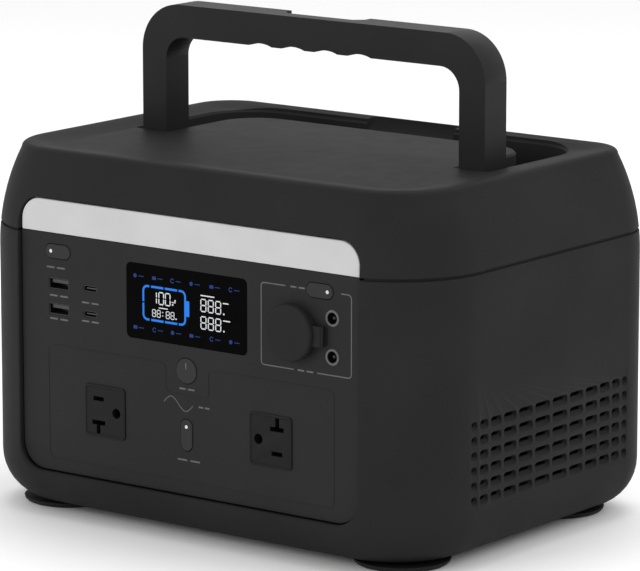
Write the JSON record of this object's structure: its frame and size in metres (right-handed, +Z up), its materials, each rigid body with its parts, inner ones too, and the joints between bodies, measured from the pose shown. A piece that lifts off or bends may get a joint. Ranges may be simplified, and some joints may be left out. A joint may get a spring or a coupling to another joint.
{
  "type": "portable power station",
  "caption": "Box-shaped battery power station with a recessed panel of outlets and ports, a light bar, side vents and a carrying handle that folds into the top.",
  "frame": {"origin": "centre of the footprint, on the surface that the feet stand on", "axes": "+X to the right of the front panel, +Y to the rear, +Z up"},
  "size_m": [0.3, 0.2217, 0.2605],
  "materials": {
    "case_plastic": "fine matte texture",
    "panel_plastic": "satin",
    "handle_plastic": "satin",
    "button_plastic": "satin",
    "soft_rubber": "matte",
    "diffuser": "translucent white",
    "display_glass": "glossy",
    "display_panel": "glossy",
    "screw_steel": "zinc plated",
    "plate_steel": "galvanised",
    "nickel": "satin",
    "chrome_liner": "bright",
    "brass_contacts": "satin",
    "black_moulding": "satin",
    "circuit_board": "solder mask",
    "cell_wrap": "shrink wrapped",
    "heat_sink_aluminium": "extruded",
    "ferrite": "ground",
    "copper_winding": "enamelled",
    "capacitor_sleeve": "sleeved",
    "lead_insulation": "matte",
    "nylon": "natural"
  },
  "bodies": {
    "case": {"lower_shell": "case_plastic", "upper_shell": "case_plastic", "vent_grille_left": "case_plastic", "vent_grille_right": "case_plastic", "seam_gasket": "soft_rubber", "feet": "soft_rubber", "foot_screws": "screw_steel", "shell_screws": "screw_steel", "front_panel": "panel_plastic", "light_bar": "diffuser", "light_board": "circuit_board", "display_window": "display_glass", "display_module": "display_panel", "handle_pins": "screw_steel", "tact_switches": "black_moulding", "control_board": "circuit_board", "board_screws": "screw_steel", "usb_a_ports": "screw_steel", "usb_c_ports": "screw_steel", "car_socket": "chrome_liner", "car_socket_contact": "brass_contacts", "cap_anchor": "soft_rubber", "dc_jacks": "black_moulding", "ac_outlet_left": "black_moulding", "ac_outlet_right": "black_moulding", "outlet_contacts": "brass_contacts", "battery_cells": "cell_wrap", "cell_holder_lower": "black_moulding", "cell_holder_upper": "black_moulding", "cell_links": "nickel", "battery_board": "circuit_board", "mid_plate": "plate_steel", "inverter_board": "circuit_board", "heat_sinks": "heat_sink_aluminium", "power_transistors": "black_moulding", "transformer_core": "ferrite", "transformer_coil": "copper_winding", "capacitors": "capacitor_sleeve", "battery_leads": "lead_insulation", "fan_frame_left": "black_moulding", "fan_frame_right": "black_moulding", "input_panel": "panel_plastic", "ac_inlet": "black_moulding", "ac_inlet_pins": "nickel", "dc_inlet": "black_moulding", "breaker_body": "black_moulding"},
    "handle": {"handle": "handle_plastic", "handle_bushes": "nylon"},
    "power_button": {"power_button": "button_plastic"},
    "ac_button": {"ac_button": "button_plastic"},
    "dc_button": {"dc_button": "button_plastic"},
    "light_button": {"light_button": "button_plastic"},
    "socket_cap": {"car_socket_cap": "soft_rubber"},
    "fan_left": {"fan_rotor_left": "black_moulding"},
    "fan_right": {"fan_rotor_right": "black_moulding"},
    "breaker_button": {"breaker_button": "button_plastic"}
  },
  "joints": [
    {"name": "handle_fold", "type": "hinge", "parent": "case", "child": "handle", "pos_m": [0, 0.00625, 0.182], "axis": [-1, 0, 0], "range_deg": [0, 90]},
    {"name": "power_button_press", "type": "slide", "parent": "case", "child": "power_button", "axis": [0, 1, 0], "range_m": [0, 0.0008], "stiffness_N_per_m": 600},
    {"name": "ac_button_press", "type": "slide", "parent": "case", "child": "ac_button", "axis": [0, 1, 0], "range_m": [0, 0.0008], "stiffness_N_per_m": 600},
    {"name": "dc_button_press", "type": "slide", "parent": "case", "child": "dc_button", "axis": [0, 1, 0], "range_m": [0, 0.0008], "stiffness_N_per_m": 600},
    {"name": "light_button_press", "type": "slide", "parent": "case", "child": "light_button", "axis": [0, 1, 0], "range_m": [0, 0.0008], "stiffness_N_per_m": 600},
    {"name": "socket_cap_hinge", "type": "hinge", "parent": "case", "child": "socket_cap", "pos_m": [0.0884, -0.10785, 0.1197], "axis": [0, 0, 1], "range_deg": [0, 140]},
    {"name": "fan_left_spin", "type": "hinge", "parent": "case", "child": "fan_left", "pos_m": [-0.1305, 0.0045, 0.0505], "axis": [1, 0, 0], "continuous": true},
    {"name": "fan_right_spin", "type": "hinge", "parent": "case", "child": "fan_right", "pos_m": [0.1305, 0.0045, 0.0505], "axis": [1, 0, 0], "continuous": true},
    {"name": "breaker_pop", "type": "slide", "parent": "case", "child": "breaker_button", "axis": [0, 1, 0], "range_m": [0, 0.003]}
  ]
}
